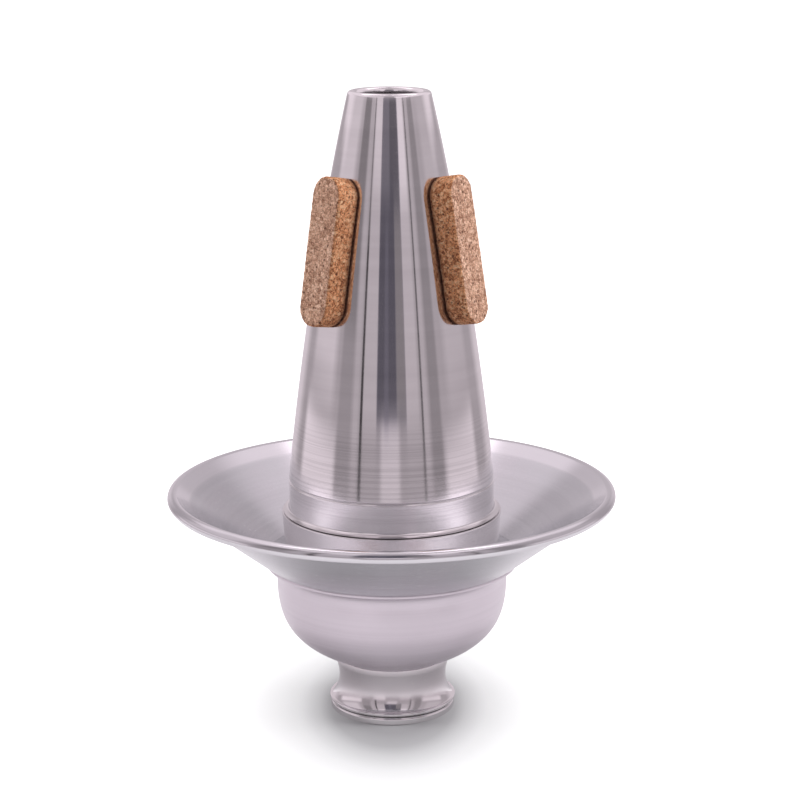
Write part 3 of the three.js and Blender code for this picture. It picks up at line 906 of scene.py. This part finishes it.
tent = {
    "radius": 0.2, "columns": 720, "rowStep": 0.004, "wallTop": 0.296,
    "dome": [(0.19, 0.30), (0.17, 0.34), (0.155, 0.38), (0.14, 0.42), (0.11, 0.44), (0.06, 0.45),
             (0.01, 0.46)],
    # glow of the bare cloth by height
    "cloth": [(0.0, 0.46), (0.05, 0.44), (0.09, 0.46), (0.20, 0.48), (0.245, 0.62), (0.27, 0.98), (0.34, 1.0),
              (0.42, 1.05), (0.445, 1.15), (0.46, 1.1)],
}
# Boards, boxes and gaps in the tent, which paint the reflections in the metal: azimuths, heights, glow, and
# how softly each edge fades
tentPanels = {
    "backLeft": {"turn": (-180, -140), "height": (0.0, 0.10), "glow": 0.74, "fade": (15, 0.02)},
    "backRight": {"turn": (140, 180), "height": (0.0, 0.10), "glow": 0.72, "fade": (15, 0.02)},
    "midLeft": {"turn": (-180, -162), "height": (0.11, 0.25), "glow": 0.66, "fade": (14, 0.02)},
    "midRight": {"turn": (154, 180), "height": (0.11, 0.25), "glow": 0.62, "fade": (14, 0.02)},
    "tallLeft": {"turn": (-180, -166), "height": (0.26, 0.47), "glow": 0.76, "fade": (10, 0.02)},
    "tallRight": {"turn": (160, 180), "height": (0.26, 0.47), "glow": 0.74, "fade": (10, 0.02)},
    "tableLeft": {"turn": (-112, -67), "height": (0.034, 0.064), "glow": 0.90, "fade": (7, 0.010)},
    "tableRight": {"turn": (65, 104), "height": (0.034, 0.064), "glow": 0.84, "fade": (7, 0.010)},
    "floorLeft": {"turn": (-125, -50), "height": (0.0, 0.020), "glow": 0.70, "fade": (9, 0.008)},
    "floorRight": {"turn": (68, 125), "height": (0.0, 0.020), "glow": 0.70, "fade": (9, 0.008)},
    "lowFrontLeft": {"turn": (-34, -14), "height": (0.0, 0.026), "glow": 0.95, "fade": (8, 0.012)},
    "lowFrontRight": {"turn": (17, 34), "height": (0.0, 0.026), "glow": 0.70, "fade": (8, 0.012)},
    "lowGap": {"turn": (-12, 10), "height": (0.0, 0.054), "glow": 0.46, "fade": (4, 0.008)},
    "sideLeft": {"turn": (-108, -76), "height": (0.10, 0.235), "glow": 0.72, "fade": (9, 0.030)},
    "sideRight": {"turn": (76, 104), "height": (0.10, 0.235), "glow": 0.58, "fade": (9, 0.030)},
    "sideHighLeft": {"turn": (-128, -112), "height": (0.182, 0.236), "glow": 0.95, "fade": (14, 0.018)},
    "sideHighRight": {"turn": (108, 124), "height": (0.188, 0.236), "glow": 0.88, "fade": (14, 0.018)},
    "flagLeft": {"turn": (-61, -47.5), "height": (0.036, 0.115), "glow": 0.37, "fade": (3.5, 0.010)},
    "flagHighLeft": {"turn": (-61, -47.5), "height": (0.125, 0.235), "glow": 0.26, "fade": (3.5, 0.010)},
    "flagRight": {"turn": (47, 57), "height": (0.036, 0.235), "glow": 0.32, "fade": (3.5, 0.008)},
    "slotLeft": {"turn": (-42.5, -38.5), "height": (0.060, 0.235), "glow": 0.52, "fade": (1.5, 0.010)},
    "slotRight": {"turn": (37, 41.5), "height": (0.060, 0.235), "glow": 0.53, "fade": (2, 0.010)},
    "boxLeft": {"turn": (-31.5, -17), "height": (0.088, 0.19), "glow": 0.56, "fade": (1.5, 0.006)},
    "boxRight": {"turn": (17.4, 31), "height": (0.088, 0.19), "glow": 0.58, "fade": (2.5, 0.006)},
    "topLeft": {"turn": (-30, -17), "height": (0.198, 0.24), "glow": 0.78, "fade": (3, 0.014)},
    "topRight": {"turn": (18, 31), "height": (0.190, 0.24), "glow": 0.88, "fade": (3, 0.014)},
    "patch": {"turn": (-9, 7), "height": (0.050, 0.084), "glow": 0.76, "fade": (4, 0.006)},
    "gap": {"turn": (-15.7, 17.2), "height": (0.089, 0.245), "glow": 0.125, "fade": (0.8, 0.004),
            "cool": 1},
    "gapTop": {"turn": (-15, 14), "height": (0.262, 0.34), "glow": 0.42, "fade": (3, 0.012)},
    "gapHigh": {"turn": (-15.5, 0), "height": (0.192, 0.245), "glow": 0.22, "fade": (0.8, 0.012),
                "cool": 0.6},
    "gapLast": {"turn": (1, 17), "height": (0.200, 0.245), "glow": 0.14, "fade": (2.5, 0.012),
                "cool": 0.6},
    "lensLeft": {"turn": (-6.5, -3.5), "height": (0.088, 0.17), "glow": 0.17, "fade": (2, 0.006),
                 "cool": 1},
    "lensRight": {"turn": (7.5, 16.8), "height": (0.095, 0.175), "glow": 0.27, "fade": (1.4, 0.012)},
    # painted reflections: thin dark strips that draw dark lines down the cone
    "darkLineLeft": {"turn": (-34.9, -32.6), "height": (0.030, 0.170), "glow": 0.05, "fade": (0.5, 0.006)},
    "darkLineLeftTop": {"turn": (-34.6, -33.2), "height": (0.165, 0.25), "glow": 0.16, "fade": (0.6, 0.006)},
    "darkLineRight": {"turn": (35.3, 36.9), "height": (0.030, 0.240), "glow": 0.12, "fade": (0.5, 0.006)},
    "hangLeft": {"turn": (-66, -20), "height": (0.268, 0.345), "glow": 0.84, "fade": (8, 0.012)},
    "hangRight": {"turn": (20, 52), "height": (0.268, 0.308), "glow": 1.28, "fade": (6, 0.012)},
    "hangHighRight": {"turn": (18, 60), "height": (0.325, 0.38), "glow": 0.82, "fade": (8, 0.012)},
    "domeFront": {"turn": (-16, 16), "height": (0.345, 0.395), "glow": 0.66, "fade": (10, 0.010)},
    "domeLeft": {"turn": (-84, -8), "height": (0.385, 0.47), "glow": 0.62, "fade": (14, 0.014)},
    "domeRight": {"turn": (-8, 78), "height": (0.385, 0.47), "glow": 0.62, "fade": (12, 0.014)},
    "streakLeft": {"turn": (-134, -112), "height": (0.36, 0.47), "glow": 2.3, "fade": (10, 0.020)},
    "streakRight": {"turn": (104, 132), "height": (0.36, 0.47), "glow": 2.5, "fade": (10, 0.020)},
    "backHighLeft": {"turn": (-160, -128), "height": (0.20, 0.26), "glow": 0.98, "fade": (10, 0.03)},
    "backHighRight": {"turn": (118, 148), "height": (0.20, 0.26), "glow": 0.96, "fade": (10, 0.03)},
}


def within(value, limits, fade):
    # 1 between the limits, falling to 0 over the fade on either side
    return max(0, min(1, 1 - (limits[0] - value) / fade, 1 - (value - limits[1]) / fade))


def glowAt(azimuth, height):
    stops = tent["cloth"]
    glow = stops[-1][1]
    cool = 0
    for (lowHeight, lowGlow), (highHeight, highGlow) in zip(stops, stops[1:]):
        if lowHeight <= height <= highHeight:
            glow = lowGlow + (highGlow - lowGlow) * (height - lowHeight) / (highHeight - lowHeight)
    for panel in tentPanels.values():
        turnFade, heightFade = panel["fade"]
        cover = within(azimuth, panel["turn"], turnFade) * within(height, panel["height"], heightFade)
        glow += (panel["glow"] - glow) * cover
        cool += (panel.get("cool", 0) - cool) * cover
    return glow, cool


def makeTent():
    mesh = bmesh.new()
    glow = mesh.verts.layers.float.new("glow")
    cool = mesh.verts.layers.float.new("cool")
    columns = tent["columns"]
    rowCount = int(round(tent["wallTop"] / tent["rowStep"])) + 1
    rows = [(tent["radius"], i * tent["rowStep"]) for i in range(rowCount)] + tent["dome"]
    rings = []
    for radius, height in rows:
        ring = []
        for k in range(columns):
            azimuth = -180 + 360 * k / columns
            angle = math.radians(azimuth)
            vertex = mesh.verts.new((radius * math.sin(angle), -radius * math.cos(angle), height))
            vertex[glow], vertex[cool] = glowAt(azimuth, height)
            ring.append(vertex)
        rings.append(ring)
    for low, high in zip(rings, rings[1:]):
        for k in range(columns):
            after = (k + 1) % columns
            mesh.faces.new((low[k], high[k], high[after], low[after]))
    mesh.faces.new(rings[-1])
    cloth = newObject("lightTent", mesh)
    material, desk = newMaterial("paintedReflectionTent")[:2]
    desk.tree.nodes.clear()
    # painted reflections: the glow and tint stored on each point of the tent
    strength = desk.add("ShaderNodeAttribute", attribute_name="glow").outputs["Fac"]
    cool = desk.add("ShaderNodeAttribute", attribute_name="cool").outputs["Fac"]
    tint = desk.mixColor(cool, (*tints["tent"], 1), (*tints["cool"], 1))
    shining = desk.add("ShaderNodeEmission", {"Color": tint, "Strength": strength})
    clear = desk.add("ShaderNodeBsdfTransparent")
    mirrored = desk.add("ShaderNodeLightPath").outputs["Is Glossy Ray"]
    either = desk.add("ShaderNodeMixShader", {0: mirrored, 1: clear.outputs[0], 2: shining.outputs[0]})
    desk.add("ShaderNodeOutputMaterial", {"Surface": either.outputs[0]})
    material.cycles.emission_sampling = "NONE"
    cloth.data.materials.append(material)


lamps = {
    "softLeft": {"place": (-0.87, 0.05, 0.42), "size": (0.5, 0.6), "power": 5.0},
    "softRight": {"place": (0.87, 0.0, 0.42), "size": (0.5, 0.6), "power": 7.5},
    "softTop": {"place": (0, 0.05, 1.1), "size": (1.0, 1.0), "power": 5.0},
}
lampAim = (0, 0, 0.08)


def makeLamp(name, plan):
    data = bpy.data.lights.new(name, "AREA")
    data.shape = "RECTANGLE"
    data.size, data.size_y = plan["size"]
    data.energy = plan["power"]
    lamp = bpy.data.objects.new(name, data)
    bpy.context.collection.objects.link(lamp)
    lamp.location = plan["place"]
    aim = Vector(lampAim) - Vector(plan["place"])
    lamp.rotation_euler = aim.to_track_quat("-Z", "Y").to_euler()
    lamp.visible_glossy = False
    lamp.visible_camera = False


air = {"color": (1, 1, 1, 1), "fill": 0.28, "white": 1.0}


def makeAir():
    world = bpy.data.worlds.new("studioAir")
    bpy.context.scene.world = world
    world.use_nodes = True
    desk = NodeDesk(world.node_tree)
    seen = desk.add("ShaderNodeLightPath").outputs
    mirrored = desk.math("MAXIMUM", seen["Is Glossy Ray"], seen["Is Transmission Ray"])
    shown = desk.math("MAXIMUM", seen["Is Camera Ray"], mirrored)
    sky = world.node_tree.nodes["Background"].inputs
    sky["Color"].default_value = air["color"]
    desk.feed(sky["Strength"], desk.remap(shown, 0.0, 1.0, air["fill"], air["white"]))


makeTable()
makeTent()
for lampName, lampPlan in lamps.items():
    makeLamp(lampName, lampPlan)
makeAir()
bpy.context.scene.view_settings.view_transform = "Standard"
print("studio ready")
